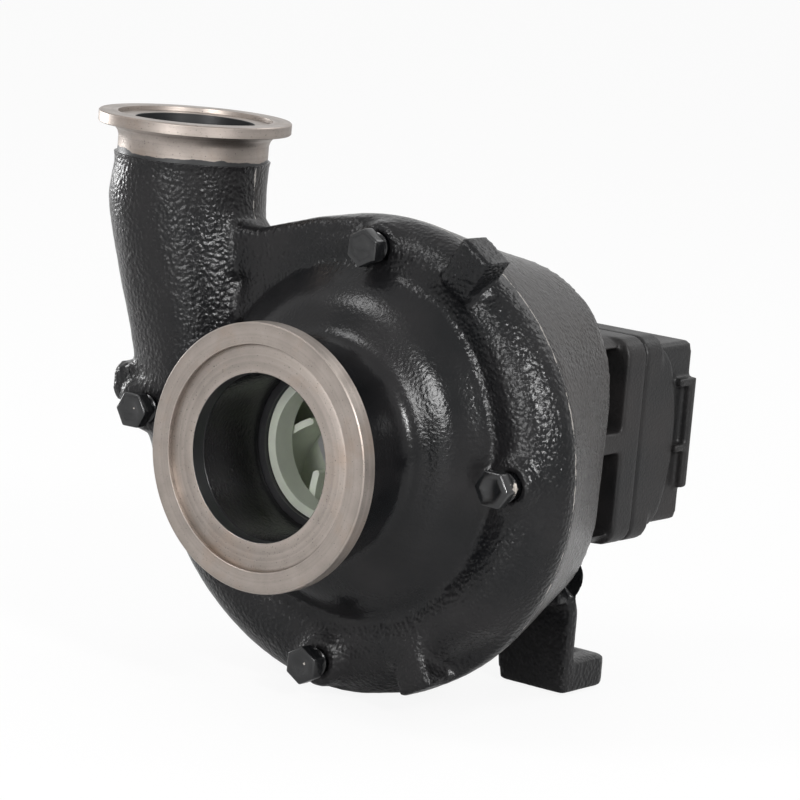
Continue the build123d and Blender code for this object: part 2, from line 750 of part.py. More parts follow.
with BuildPart() as motor_rear_cover:
    with BuildSketch(station(body_side_end)):
        with Locations((motor_middle, 0)):
            RectangleRounded(motor_width - 2 * rear_inset, 2 * (motor_half_height - 4), motor_corner - 4)
    extrude(amount=-(rear_cover_end - body_side_end))
    # Raised pad with its cast recess on the idler's side
    with BuildSketch(Plane.YZ.offset(motor_right - rear_inset)):
        with Locations((rear_cover_end - 6, 9)):
            Rectangle(12, 29)
    extrude(amount=4)
    with BuildSketch(Plane.YZ.offset(motor_right - rear_inset + 4)):
        with Locations((rear_cover_end - 8.5, 9)):
            Rectangle(8, 23)
    extrude(amount=-7, mode=Mode.SUBTRACT)
    # The body's arched back seats in the cover
    with BuildSketch(Plane.YZ.offset(motor_left - 1)):
        with BuildLine():
            side_profile((body_side_end, body_mid_end), motor_half_height)
        make_face()
    extrude(amount=motor_width + 8, mode=Mode.SUBTRACT)
    with BuildSketch(station(motor_joint_y)):
        Circle(journal_radius + bush_wall)
        with Locations((idler_x, 0)):
            Circle(idler_journal_radius + bush_wall)
    extrude(amount=-(journal_end + 1 - motor_joint_y), mode=Mode.SUBTRACT)
    with BuildSketch(station(motor_joint_y)):
        for x in tie_bolt_x:
            with Locations((x, tie_bolt_z), (x, -tie_bolt_z)):
                Circle(motor_bolt_diameter / 2 + 0.4)
    extrude(amount=-(rear_cover_end - motor_joint_y), mode=Mode.SUBTRACT)
    # Ports with their passages
    for y, radius in ((motor_joint_y, port_passage_radius), (rear_cover_end - port_depth, port_radius)):
        with BuildSketch(station(y)):
            with Locations((idler_x / 2, port_z), (idler_x / 2, -port_z)):
                Circle(radius)
        extrude(amount=-(rear_cover_end - y), mode=Mode.SUBTRACT)
save(motor_rear_cover.part, "motor_rear_cover")

# ---------------------------------------------------------------- bushes, two at each end
bushes = (
    ("drive_bush_front", 0, journal_radius, motor_joint_y - bush_length, motor_joint_y),
    ("drive_bush_rear", 0, journal_radius, motor_joint_y + gear_face + 0.4, journal_end),
    ("idler_bush_front", idler_x, idler_journal_radius, motor_joint_y - bush_length, motor_joint_y),
    ("idler_bush_rear", idler_x, idler_journal_radius, motor_joint_y + gear_face + 0.4, journal_end),
)
for name, x, radius, y, end in bushes:
    with BuildPart() as bush:
        with BuildSketch(station(y)):
            with Locations((x, 0)):
                Circle(radius + bush_wall)
                Circle(radius + running_clearance, mode=Mode.SUBTRACT)
        extrude(amount=-(end - y))
    save(bush.part, name)


# ---------------------------------------------------------------- hex bolts, grouped by size
def hex_bolt(x, z, head_y, length, diameter, head_side):
    """A hex bolt along Y: the head stands on head_y, towards the back (+1) or the front (-1)."""
    with BuildPart() as bolt:
        with BuildSketch(station(head_y)):
            with Locations((x, z)):
                RegularPolygon(hexagon(1.6 * diameter), 6, rotation=30)
        extrude(amount=-head_side * 0.65 * diameter)
        with BuildSketch(station(head_y)):
            with Locations((x, z)):
                Circle(diameter / 2 - running_clearance)
        extrude(amount=head_side * length)
    return bolt.part


with BuildPart() as casing_bolts:
    for angle in (45, 135, 225, 315):
        x, z = clock(angle, casing_bolt_circle + 2)
        add(hex_bolt(x, z, motor_y, 36, casing_bolt_diameter, 1))
save(casing_bolts.part, "casing_bolts")

with BuildPart() as motor_mount_bolts:
    for x in mount_bolt_x:
        for z in (mount_bolt_z, -mount_bolt_z):
            add(hex_bolt(x, z, motor_y + pocket_front, pocket_front + bracket_thickness, motor_bolt_diameter, 1))
save(motor_mount_bolts.part, "motor_mount_bolts")

with BuildPart() as motor_tie_bolts:
    for x in tie_bolt_x:
        for z in (tie_bolt_z, -tie_bolt_z):
            add(hex_bolt(x, z, rear_cover_end, rear_cover_end - motor_joint_y + 11, motor_bolt_diameter, 1))
save(motor_tie_bolts.part, "motor_tie_bolts")
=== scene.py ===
"""Looks of an end-suction volute pump with a hydraulic gear motor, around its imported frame."""
import math

import bmesh
import bpy
from mathutils import Matrix, Vector, noise


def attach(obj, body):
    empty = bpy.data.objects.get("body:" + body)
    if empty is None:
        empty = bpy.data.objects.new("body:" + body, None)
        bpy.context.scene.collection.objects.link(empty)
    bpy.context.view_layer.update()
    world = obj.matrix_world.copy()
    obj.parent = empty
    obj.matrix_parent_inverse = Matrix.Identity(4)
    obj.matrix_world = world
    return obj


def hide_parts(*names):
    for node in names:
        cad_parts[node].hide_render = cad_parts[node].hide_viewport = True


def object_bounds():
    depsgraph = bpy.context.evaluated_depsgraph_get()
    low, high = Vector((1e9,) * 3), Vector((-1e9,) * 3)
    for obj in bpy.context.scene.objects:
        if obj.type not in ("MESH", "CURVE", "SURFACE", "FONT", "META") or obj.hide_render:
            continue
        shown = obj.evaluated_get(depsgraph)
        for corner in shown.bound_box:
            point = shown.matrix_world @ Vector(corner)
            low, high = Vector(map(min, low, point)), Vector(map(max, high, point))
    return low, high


bl_info = {
    "name": "Volute Pump",
    "version": (1, 0, 0),
    "blender": (4, 5, 0),
    "location": "View3D > Sidebar > Pump",
    "description": "Dresses the packed pump with its cast, turned and painted surfaces",
    "category": "Object",
}

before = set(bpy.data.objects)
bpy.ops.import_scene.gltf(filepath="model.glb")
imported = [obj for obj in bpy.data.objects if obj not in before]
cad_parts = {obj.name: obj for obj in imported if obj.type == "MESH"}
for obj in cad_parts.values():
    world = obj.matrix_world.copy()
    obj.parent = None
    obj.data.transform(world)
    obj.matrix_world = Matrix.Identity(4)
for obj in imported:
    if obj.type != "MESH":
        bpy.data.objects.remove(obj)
cad_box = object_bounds()

MM = 0.001
SUCTION_AXIS = (0.0, 0.0, 0.0)
DISCHARGE_CENTRE = Vector((-0.1086, 0.076, 0.122))
SUCTION_CUT = 8.0 * MM          # the turned rim ends here and the casting begins
DISCHARGE_CUT = 104.5 * MM
JOINT_FACE = 135.2 * MM         # behind this the casting keeps its machined joint face

# All below are in mm
BORE_RADIUS = 34.2
PARTING_LINE = 79.3             # station of the sand mould's joint, worn bare in places
RIM_STATION = 79.5              # the drum tapers from its round rim here
BACK_STATION = 136.0            # to a rounded square at the joint,
FLANGE_STATION = 146.2          # and the frame's flange goes on with it
PLATE_THICKNESS = 6.8           # of the frame's plate, behind the flange
LEG_SIDE = 61.0
NOZZLE_RADIUS = 32.5            # under the discharge rim,
NOZZLE_TAPER = 0.12             # and its growth with each mm below that
THROAT_SWELL = 6.2              # at the shaft's height, fading out to the next three
THROAT_TOP, THROAT_FOOT, THROAT_SIDE = 98.0, -70.0, -98.0
# Left, right, bottom and top of an outline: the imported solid's, and the one that is shown
MOTOR_SOLID, MOTOR_SHOWN = (-42.0, 60.0, -41.0, 41.0), (-42.0, 64.0, -43.4, 46.4)
REAR_SOLID, REAR_SHOWN = (-36.0, 54.0, -37.0, 37.0), (-36.0, 61.5, -37.0, 42.0)
MOTOR_CORNER = 8.0
# How far each set of bolts is shown in towards the shaft, across and up, and forward
BOLT_MOVES = {
    "casing_bolts": (9.0, 7.0),
    "motor_mount_bolts": (-3.0, 6.6),
    "motor_tie_bolts": (3.0, 0.0),
}
# Clock angle in degrees from the top, radius, and depth of the boss's face behind the suction face
PLUGS = {
    "vent_plug": (3.0, 83.0, 62.0),
    "right_side_plug": (91.0, 84.5, 56.5),
    "drain_plug": (181.0, 91.5, 52.5),
    "left_side_plug": (269.0, 102.5, 51.0),
}
# How far the head stands out, the size of its bare patch, and the patch's place from the boss's face
PLUG_HEADS = {
    "vent_plug": (4.2, 0.6, (1.5, -10.2, 1.0)),
    "right_side_plug": (6.4, 4.6, (6.6, -4.6, 0.0)),
    "drain_plug": (4.2, 1.2, (1.5, -10.2, 1.0)),
    "left_side_plug": (4.2, 0.6, (1.5, -10.2, 1.0)),
}
HEX_ACROSS, HEX_HEIGHT = 14.3, 6.0
THREAD_PITCH, THREAD_CREST, THREAD_ROOT = 1.41, 6.2, 5.2
LUGS = ((33.0, 107.0), (153.0, 105.5), (273.0, 121.0))      # clock angle and radius

# Brown of the drum's dust, lighter than the enamel, so that it is also a painted sheen
BROWN_DUST_AND_SHEEN = (0.024, 0.020, 0.018, 1.0)
WORN_IRON = (0.33, 0.31, 0.29, 1.0)
CHIPPED_STEEL = (0.52, 0.48, 0.44, 1.0)


class PumpCastingSettings(bpy.types.PropertyGroup):
    """Sizes of the cast surfaces."""

    voxel: bpy.props.FloatProperty(
        name="Grain", description="Spacing of the casting's mesh", default=1.666 * MM,
        min=0.5 * MM, unit="LENGTH", precision=5)
    motor_voxel: bpy.props.FloatProperty(
        name="Motor grain", description="Spacing of the motor castings' mesh", default=0.9 * MM,
        min=0.5 * MM, unit="LENGTH", precision=5)
    rounding: bpy.props.IntProperty(
        name="Rounding", description="How far the corners of the sand casting are rounded",
        default=9, min=1, max=30)
    pebble_height: bpy.props.FloatProperty(
        name="Pebble height", description="How far the sand's pebbles stand out",
        default=0.12 * MM, min=0.0, unit="LENGTH", precision=5)
    pebble_size: bpy.props.FloatProperty(
        name="Pebble size", description="Distance between pebbles", default=3.0 * MM,
        min=0.5 * MM, unit="LENGTH", precision=5)


class PumpColourSettings(bpy.types.PropertyGroup):
    """Colours of the pump's finishes."""

    enamel: bpy.props.FloatVectorProperty(
        name="Enamel", description="Black enamel on the castings", subtype="COLOR",
        default=(0.006, 0.0063, 0.007), min=0.0, max=1.0)
    motor_enamel: bpy.props.FloatVectorProperty(
        name="Motor enamel", description="Satin paint on the motor", subtype="COLOR",
        default=(0.012, 0.012, 0.0125), min=0.0, max=1.0)
    bare_iron: bpy.props.FloatVectorProperty(
        name="Bare iron", description="Turned cast iron", subtype="COLOR",
        default=(0.29, 0.255, 0.23), min=0.0, max=1.0)
    nylon: bpy.props.FloatVectorProperty(
        name="Nylon", description="Moulded impeller", subtype="COLOR",
        default=(0.66, 0.70, 0.60), min=0.0, max=1.0)


class PumpStudioSettings(bpy.types.PropertyGroup):
    """Floor, light and camera."""

    floor: bpy.props.FloatVectorProperty(
        name="Floor", description="Colour of the floor", subtype="COLOR",
        default=(0.92, 0.92, 0.92), min=0.0, max=1.0)
    world: bpy.props.FloatProperty(
        name="Room light", description="Strength of the room's light", default=0.55, min=0.0)
    key: bpy.props.FloatProperty(
        name="Lamps", description="Power that each lamp takes its share of", default=16.0, min=0.0,
        unit="POWER")


# ---------------------------------------------------------------- node helpers
def link_node(tree, kind, place=(0, 0), **settings):
    """Add a node, with its properties set and its inputs given as values or sockets."""
    made = tree.nodes.new(kind)
    made.location = place
    for key, value in settings.items():
        if hasattr(made, key) and key not in made.inputs:
            setattr(made, key, value)
            continue
        socket = made.inputs[int(key[1:]) if key[0] == "i" and key[1:].isdigit() else key.replace("_", " ")]
        if isinstance(value, bpy.types.NodeSocket):
            tree.links.new(value, socket)
        else:
            socket.default_value = value
    return made


def math_node(tree, operation, first, second=0.0, **settings):
    """Result of a Math node."""
    return link_node(tree, "ShaderNodeMath", operation=operation, i0=first, i1=second,
                     **settings).outputs[0]


def ramp(tree, value, low, high, to_low=0.0, to_high=1.0):
    """Value mapped from low..high to to_low..to_high, held at its ends."""
    mapped = link_node(tree, "ShaderNodeMapRange", i0=value)
    for index, number in enumerate((low, high, to_low, to_high), start=1):
        if isinstance(number, bpy.types.NodeSocket):
            tree.links.new(number, mapped.inputs[index])
        else:
            mapped.inputs[index].default_value = number
    return mapped.outputs[0]


def mix_colour(tree, factor, first, second):
    """Colour between first and second."""
    mixer = link_node(tree, "ShaderNodeMix", data_type="RGBA")
    for index, value in ((0, factor), (6, first), (7, second)):
        if isinstance(value, bpy.types.NodeSocket):
            tree.links.new(value, mixer.inputs[index])
        else:
            mixer.inputs[index].default_value = value
    return mixer.outputs[2]


def noise_value(tree, vector, scale, detail=2.0, rough=0.5):
    """Value of a Noise texture."""
    return link_node(tree, "ShaderNodeTexNoise", Vector=vector, Scale=scale, Detail=detail,
                     Roughness=rough).outputs[0]


def new_group(name, inputs, outputs):
    """An empty shader group with named inputs and outputs."""
    group = bpy.data.node_groups.new(name, "ShaderNodeTree")
    for label, kind, default in inputs:
        socket = group.interface.new_socket(name=label, in_out="INPUT", socket_type=kind)
        socket.default_value = default
    for label, kind in outputs:
        group.interface.new_socket(name=label, in_out="OUTPUT", socket_type=kind)
    return group, group.nodes.new("NodeGroupInput"), group.nodes.new("NodeGroupOutput")


def sand_group():
    """Pebbled skin of a sand casting: a height, and a slow patch value for tone and gloss."""
    group, given, result = new_group(
        "Sand skin",
        [("Vector", "NodeSocketVector", (0, 0, 0)), ("Pebbles", "NodeSocketFloat", 330.0),
         ("Fine", "NodeSocketFloat", 0.35)],
        [("Height", "NodeSocketFloat"), ("Patch", "NodeSocketFloat")])
    warp = noise_value(group, given.outputs["Vector"], 90.0)
    bent = link_node(group, "ShaderNodeVectorMath", operation="MULTIPLY_ADD", i0=warp,
                     i1=(0.003, 0.003, 0.003), i2=given.outputs["Vector"]).outputs[0]
    pebbles = link_node(group, "ShaderNodeTexVoronoi", feature="SMOOTH_F1", Vector=bent,
                        Scale=given.outputs["Pebbles"], Smoothness=0.7).outputs["Distance"]
    grit_scale = math_node(group, "MULTIPLY", given.outputs["Pebbles"], 3.1)
    grit = noise_value(group, given.outputs["Vector"], grit_scale, 3.0, 0.6)
    round_top = ramp(group, pebbles, 0.0, 0.75, 1.0, 0.0)
    height = math_node(group, "MULTIPLY_ADD", grit, given.outputs["Fine"], i2=round_top)
    group.links.new(height, result.inputs["Height"])
    group.links.new(ramp(group, noise_value(group, given.outputs["Vector"], 28.0, 4.0), 0.35, 0.65),
                    result.inputs["Patch"])
    return group


def lathe_group():
    """Concentric marks of a turned face round an axis, with the iron's pores."""
    group, given, result = new_group(
        "Lathe marks",
        [("Vector", "NodeSocketVector", (0, 0, 0)), ("Centre", "NodeSocketVector", (0, 0, 0)),
         ("Plane", "NodeSocketVector", (1, 0, 1))],
        [("Height", "NodeSocketFloat"), ("Tone", "NodeSocketFloat"), ("Radius", "NodeSocketFloat"),
         ("Pores", "NodeSocketFloat")])
    offset = link_node(group, "ShaderNodeVectorMath", operation="SUBTRACT",
                       i0=given.outputs["Vector"], i1=given.outputs["Centre"]).outputs[0]
    flat = link_node(group, "ShaderNodeVectorMath", operation="MULTIPLY", i0=offset,
                     i1=given.outputs["Plane"]).outputs[0]
    radius = link_node(group, "ShaderNodeVectorMath", operation="LENGTH", i0=flat).outputs["Value"]
    rise = link_node(group, "ShaderNodeVectorMath", operation="SUBTRACT", i0=offset,
                     i1=flat).outputs[0]
    depth = link_node(group, "ShaderNodeVectorMath", operation="LENGTH", i0=rise).outputs["Value"]
    path = math_node(group, "ADD", radius, depth)
    rings = link_node(group, "ShaderNodeTexNoise", noise_dimensions="1D", W=path, Scale=3600.0,
                      Detail=2.0).outputs[0]
    bands = link_node(group, "ShaderNodeTexNoise", noise_dimensions="1D", W=path, Scale=420.0,
                      Detail=3.0).outputs[0]
    cloud = noise_value(group, given.outputs["Vector"], 70.0, 4.0, 0.6)
    tone = math_node(group, "MULTIPLY_ADD", bands, 0.45, i2=math_node(group, "MULTIPLY", cloud, 0.55))
    pores = ramp(group, noise_value(group, given.outputs["Vector"], 1500.0, 2.0), 0.66, 0.72)
    group.links.new(rings, result.inputs["Height"])
    group.links.new(tone, result.inputs["Tone"])
    group.links.new(radius, result.inputs["Radius"])
    group.links.new(pores, result.inputs["Pores"])
    return group


def start_material(name):
    """A fresh material, its tree, its Principled shader and its Object coordinates."""
    material = bpy.data.materials.new(name)
    material.use_nodes = True
    tree = material.node_tree
    shader = tree.nodes["Principled BSDF"]
    place = tree.nodes.new("ShaderNodeTexCoord").outputs["Object"]
    return material, tree, shader, place


def shared_group(name, build):
    """The group of that name, built the first time."""
    return bpy.data.node_groups.get(name) or build()


def bump(tree, shader, height, distance, strength=1.0):
    """Feed a height into the shader's normal."""
    made = link_node(tree, "ShaderNodeBump", Strength=strength, Distance=distance, Height=height)
    tree.links.new(made.outputs[0], shader.inputs["Normal"])


def colour(values, factor=1.0):
    """An opaque colour, scaled."""
    return (*[part * factor for part in values], 1.0)


def radius_from_shaft(tree, place):
    """Distance of a point from the shaft's line."""
    flat = link_node(tree, "ShaderNodeVectorMath", operation="MULTIPLY", i0=place, i1=(1, 0, 1)).outputs[0]
    return link_node(tree, "ShaderNodeVectorMath", operation="LENGTH", i0=flat).outputs["Value"]


def enamel_material(name, base, gloss=0.15, pebbles=560.0, distance=0.30 * MM, seam=False):
    """Enamel over a sand casting, duller and browner in patches; seam adds the worn parting line, and
    behind it brown dust with a painted sheen.
    """
    material, tree, shader, place = start_material(name)
    skin = link_node(tree, "ShaderNodeGroup", node_tree=shared_group("Sand skin", sand_group),
                     Vector=place, Pebbles=pebbles)
    patch = skin.outputs["Patch"]
    shader.inputs["Specular IOR Level"].default_value = 0.20
    tint = mix_colour(tree, patch, colour(base), (base[0] * 2.1, base[1] * 1.9, base[2] * 1.8, 1.0))
    roughness = ramp(tree, patch, 0.0, 1.0, gloss, gloss + 0.12)
    if seam:
        y = link_node(tree, "ShaderNodeSeparateXYZ", Vector=place).outputs[1]
        # Behind its parting line the drum is duller, with brown dust that is partly a painted sheen: a
        # lighter brown standing in for light glancing off its sides
        behind = ramp(tree, y, (PARTING_LINE - 0.3) * MM, (PARTING_LINE + 2.7) * MM)
        cloud = ramp(tree, noise_value(tree, place, 45.0, 4.0), 0.3, 0.7, 0.35, 0.8)
        dust_and_sheen = math_node(tree, "MULTIPLY", behind, cloud)
        tint = mix_colour(tree, dust_and_sheen, tint, BROWN_DUST_AND_SHEEN)
        roughness = ramp(tree, dust_and_sheen, 0.0, 1.0, roughness, 0.33)
        away = math_node(tree, "ABSOLUTE", math_node(tree, "SUBTRACT", y, PARTING_LINE * MM))
        waver = noise_value(tree, place, 160.0, 4.0, 0.7)
        width = ramp(tree, waver, 0.42, 0.70, 0.0, 0.9 * MM)
        line = math_node(tree, "LESS_THAN", away, width)
        outer = math_node(tree, "GREATER_THAN", radius_from_shaft(tree, place), 88 * MM)
        line = math_node(tree, "MULTIPLY", line, outer)
        tint = mix_colour(tree, line, tint, WORN_IRON)
        roughness = ramp(tree, line, 0.0, 1.0, roughness, 0.55)
    tree.links.new(tint, shader.inputs["Base Color"])
    tree.links.new(roughness, shader.inputs["Roughness"])
    height = skin.outputs["Height"]
    if seam:
        # The front cone and the bore are smoother, with a fine grain only
        outside = ramp(tree, radius_from_shaft(tree, place), 70 * MM, 78 * MM)
        rough = math_node(tree, "MULTIPLY", height, ramp(tree, outside, 0.0, 1.0, 0.12, 1.0))
        grain = noise_value(tree, place, 750.0, 2.0)
        height = math_node(tree, "MULTIPLY_ADD", grain, 0.45, i2=rough)
    bump(tree, shader, height, distance)
    return material


def turned_material(name, base, centre, plane, painted):
    """Turned iron with lathe marks, a brown bloom, pores, and enamel where painted says."""
    material, tree, shader, place = start_material(name)
    marks = link_node(tree, "ShaderNodeGroup", node_tree=shared_group("Lathe marks", lathe_group),
                      Vector=place, Centre=centre, Plane=plane)
    tint = mix_colour(tree, ramp(tree, marks.outputs["Tone"], 0.35, 0.65), colour(base, 0.78),
                      colour(base, 1.12))
    bloom = ramp(tree, noise_value(tree, place, 38.0, 5.0, 0.65), 0.52, 0.75, 0.0, 0.55)
    tint = mix_colour(tree, bloom, tint, (base[0] * 0.86, base[1] * 0.70, base[2] * 0.58, 1.0))
    tint = mix_colour(tree, marks.outputs["Pores"], tint, colour(base, 0.25))
    paint = painted(tree, place, marks.outputs["Radius"])
    enamel = bpy.context.scene.pump_colours.enamel
    tint = mix_colour(tree, paint, tint, colour(enamel, 1.4))
    tree.links.new(tint, shader.inputs["Base Color"])
    tree.links.new(ramp(tree, paint, 0.0, 1.0, 0.92, 0.0), shader.inputs["Metallic"])
    gloss = ramp(tree, marks.outputs["Tone"], 0.3, 0.7, 0.46, 0.33)
    tree.links.new(gloss, shader.inputs["Roughness"])
    bump(tree, shader, marks.outputs["Height"], 0.02 * MM, 0.8)
    return material


def bore_paint(tree, place, radius):
    """Enamel down the suction bore, from its edge inwards."""
    return math_node(tree, "LESS_THAN", radius, (BORE_RADIUS + 0.12) * MM)


def band_paint(tree, place, radius):
    """Enamel up to a wavering edge below the discharge rim, and inside its bore."""
    z = link_node(tree, "ShaderNodeSeparateXYZ", Vector=place).outputs[2]
    edge = ramp(tree, noise_value(tree, place, 45.0, 4.0, 0.6), 0.3, 0.7, 105.2 * MM, 107.4 * MM)
    below = math_node(tree, "LESS_THAN", z, edge)
    inside = math_node(tree, "LESS_THAN", radius, 25.6 * MM)
    return math_node(tree, "MAXIMUM", below, inside)


def plain_material(name, base, roughness, metallic=0.0, scale=900.0, distance=0.03 * MM, spread=0.15,
                   subsurface=0.0):
    """A finish with a fine grain and a slow change of tone."""
    material, tree, shader, place = start_material(name)
    cloud = noise_value(tree, place, 55.0, 4.0, 0.6)
    tint = mix_colour(tree, ramp(tree, cloud, 0.3, 0.7), colour(base, 1.0 - spread),
                      colour(base, 1.0 + spread))
    tree.links.new(tint, shader.inputs["Base Color"])
    tree.links.new(ramp(tree, cloud, 0.3, 0.7, roughness - 0.05, roughness + 0.07),
                   shader.inputs["Roughness"])
    shader.inputs["Metallic"].default_value = metallic
    if subsurface:
        shader.inputs["Subsurface Weight"].default_value = subsurface
        shader.inputs["Subsurface Radius"].default_value = (0.6, 0.7, 0.5)
        shader.inputs["Subsurface Scale"].default_value = 2.0 * MM
    bump(tree, shader, noise_value(tree, place, scale, 3.0), distance)
    return material


def plug_material(name, base, spot, chip_size, seed):
    """Enamel on a plug, knocked off to bright steel near spot."""
    material, tree, shader, place = start_material(name)
    away = link_node(tree, "ShaderNodeVectorMath", operation="DISTANCE", i0=place, i1=spot).outputs["Value"]
    rag = link_node(tree, "ShaderNodeTexNoise", noise_dimensions="4D", Vector=place, W=seed, Scale=420.0,
                    Detail=5.0, Roughness=0.65).outputs[0]
    reach = math_node(tree, "MULTIPLY_ADD", rag, chip_size * 2.6, i2=-chip_size * 0.75)
    chip = math_node(tree, "LESS_THAN", away, reach)
    tint = mix_colour(tree, chip, colour(base), CHIPPED_STEEL)
    tree.links.new(tint, shader.inputs["Base Color"])
    tree.links.new(ramp(tree, chip, 0.0, 1.0, 0.0, 0.75), shader.inputs["Metallic"])
    tree.links.new(ramp(tree, chip, 0.0, 1.0, 0.22, 0.5), shader.inputs["Roughness"])
    paint_film = ramp(tree, chip, 0.0, 1.0, 1.0, 0.0)
    height = math_node(tree, "MULTIPLY_ADD", noise_value(tree, place, 700.0, 3.0), 0.3, i2=paint_film)
    bump(tree, shader, height, 0.12 * MM)
    return material


# ---------------------------------------------------------------- mesh helpers
def finish_piece(piece, material, body, nodes):
    """Shade a new piece and tell the frame what it is."""
    piece.data.materials.clear()
    piece.data.materials.append(material)
    piece.data.polygons.foreach_set("use_smooth", [True] * len(piece.data.polygons))
    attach(piece, body)
    if nodes:
        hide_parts(*nodes)


def new_piece(name, mesh_tool):
    """An object at the origin with the mesh that mesh_tool holds."""
    mesh = bpy.data.meshes.new(name)
    mesh_tool.to_mesh(mesh)
    mesh_tool.free()
    piece = bpy.data.objects.new(name, mesh)
    bpy.context.collection.objects.link(piece)
    return piece


def add_shell(mesh_tool, stations, outer, inner, steps=120):
    """Add a closed shell about the shaft; outer and inner give its radii at a clock angle and station."""
    rings = []
    for skin, order in ((outer, stations), (inner, stations[::-1])):
        for y in order:
            turns = [360.0 * step / steps for step in range(steps)]
            rings.append([mesh_tool.verts.new(clock(turn, skin(turn, y), y)) for turn in turns])
    for first, second in zip(rings, rings[1:] + rings[:1]):
        for i in range(steps):
            mesh_tool.faces.new((first[i - 1], first[i], second[i], second[i - 1]))


def add_prism(mesh_tool, outline, near, far):
    """Add a closed prism: an outline of (x, z) between two stations along the shaft, in mm."""
    ends = [[mesh_tool.verts.new(Vector((x, y, z)) * MM) for x, z in outline] for y in (near, far)]
    for end in ends:
        mesh_tool.faces.new(end)
    for i in range(len(outline)):
        mesh_tool.faces.new((ends[0][i - 1], ends[0][i], ends[1][i], ends[1][i - 1]))


def rounded_box(box, corner, steps=6):
    """Outline of (x, z) points of a box (left, right, bottom, top) with round corners."""
    left, right, bottom, top = box
    centres = ((right, top, -1, -1), (left, top, 1, -1), (left, bottom, 1, 1), (right, bottom, -1, 1))
    points = []
    for quarter, (x, z, across, along) in enumerate(centres):
        for step in range(steps + 1):
            turn = math.radians(90 * (quarter + step / steps))
            points.append((x + corner * (across + math.cos(turn)), z + corner * (along + math.sin(turn))))
    return points


def cast_copy(node, voxel, add_forms=None):
    """A CAD node merged with the forms that add_forms gives it, and evenly remeshed."""
    mesh_tool = bmesh.new()
    mesh_tool.from_mesh(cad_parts[node].data)
    bmesh.ops.remove_doubles(mesh_tool, verts=mesh_tool.verts, dist=0.002 * MM)
    if add_forms:
        count = len(mesh_tool.faces)
        add_forms(mesh_tool)
        mesh_tool.faces.ensure_lookup_table()
        bmesh.ops.recalc_face_normals(mesh_tool, faces=mesh_tool.faces[count:])
    piece = new_piece(node + "_rough", mesh_tool)
    grain = piece.modifiers.new("grain", "REMESH")
    grain.mode = "VOXEL"
    grain.voxel_size = voxel
    evaluated = piece.evaluated_get(bpy.context.evaluated_depsgraph_get())
    mesh_tool = bmesh.new()
    mesh_tool.from_mesh(evaluated.to_mesh())
    evaluated.to_mesh_clear()
    bpy.data.objects.remove(piece)
    return mesh_tool


def smooth(mesh_tool, verts, times):
    """Smooth some vertices a number of times."""
    for _ in range(times):
        bmesh.ops.smooth_vert(mesh_tool, verts=verts, factor=0.5, use_axis_x=True, use_axis_y=True,
                              use_axis_z=True)


def cut_and_cap(mesh_tool, point, normal):
    """Cut away what lies on the normal's side and close the annular cut."""
    geometry = mesh_tool.verts[:] + mesh_tool.edges[:] + mesh_tool.faces[:]
    cut = bmesh.ops.bisect_plane(mesh_tool, geom=geometry, plane_co=point, plane_no=normal,
                                 clear_outer=True)
    edges = [item for item in cut["geom_cut"] if isinstance(item, bmesh.types.BMEdge)]
    bmesh.ops.bridge_loops(mesh_tool, edges=edges)


def clock(angle, radius, y):
    """Point at an angle from the top, seen from the suction side; mm in, metres out."""
    turn = math.radians(angle)
    return Vector((radius * math.sin(turn), y, radius * math.cos(turn))) * MM


def polar(place):
    """Radius from the shaft in mm and clock angle in degrees of a point."""
    return math.hypot(place.x, place.z) / MM, math.degrees(math.atan2(place.x, place.z))


def rounded_square(angle, half, corner):
    """Distance from the centre of a rounded square to its outline, at an angle in degrees."""
    turn = math.radians(angle)
    long, short = sorted((abs(math.cos(turn)), abs(math.sin(turn))), reverse=True)
    flat = half - corner
    if half * short <= flat * long:
        return half / long
    return flat * (long + short) + math.sqrt(corner**2 - (flat * (long - short)) ** 2)


def drum_radius(angle, y):
    """Radius of the casting behind its rim, and on over the frame's flange, in mm."""
    back = rounded_square(angle, 75.5, 50.0) + 2.0 * math.cos(math.radians(angle))
    if y > BACK_STATION:
        share = min(1.0, (y - BACK_STATION) / (FLANGE_STATION - BACK_STATION))
        return back + share * (rounded_square(angle, 65.0, 56.0) - back)
    turn = math.radians(angle)
    rim = 100.0 + 1.5 * math.sin(turn) - 5.0 * math.cos(turn)
    return rim + (back - rim) * (y - RIM_STATION) / (BACK_STATION - RIM_STATION)


def scroll_reach(angle, y):
    """How far the scroll's tube reaches from the shaft, in mm."""
    turn = max(0.0, angle % 360.0 if angle % 360.0 < 300.0 else 0.0) / 270.0
    tube = 13.5 + 10.5 * turn
    across = tube**2 - (y - 76.0) ** 2
    return 81.0 + 6.0 * turn + math.sqrt(across) if across > 0 else 0.0


def carry_out(vert, solid, shown):
    """Stretch a point from a packed outline to the shown one."""
    left = shown[0] * MM
    vert.co.x = left + (vert.co.x - left) * (shown[1] - shown[0]) / (solid[1] - solid[0])
    vert.co.z *= shown[3] / solid[3] if vert.co.z > 0 else shown[2] / solid[2]


def turned_ring(name, profile, centre, axis, segments=160):
    """A closed ring from a closed profile of (radius, distance along the axis) in mm."""
    mesh_tool = bmesh.new()
    side = Vector((1, 0, 0))
    verts = [mesh_tool.verts.new(centre + (side * r + axis * t) * MM) for r, t in profile]
    edges = [mesh_tool.edges.new((verts[i - 1], verts[i])) for i in range(len(verts))]
    bmesh.ops.spin(mesh_tool, geom=verts + edges, cent=centre, axis=axis, angle=math.tau,
                   steps=segments, use_merge=True, use_duplicate=False)
    bmesh.ops.remove_doubles(mesh_tool, verts=mesh_tool.verts, dist=0.001 * MM)
    bmesh.ops.recalc_face_normals(mesh_tool, faces=mesh_tool.faces)
    return new_piece(name, mesh_tool)


def sharpen(piece, angle=35.0):
    """Keep crisp edges where faces meet at more than angle."""
    mesh_tool = bmesh.new()
    mesh_tool.from_mesh(piece.data)
    limit = math.radians(angle)
    for edge in mesh_tool.edges:
        edge.smooth = len(edge.link_faces) != 2 or edge.calc_face_angle(0.0) < limit
    mesh_tool.to_mesh(piece.data)
    mesh_tool.free()


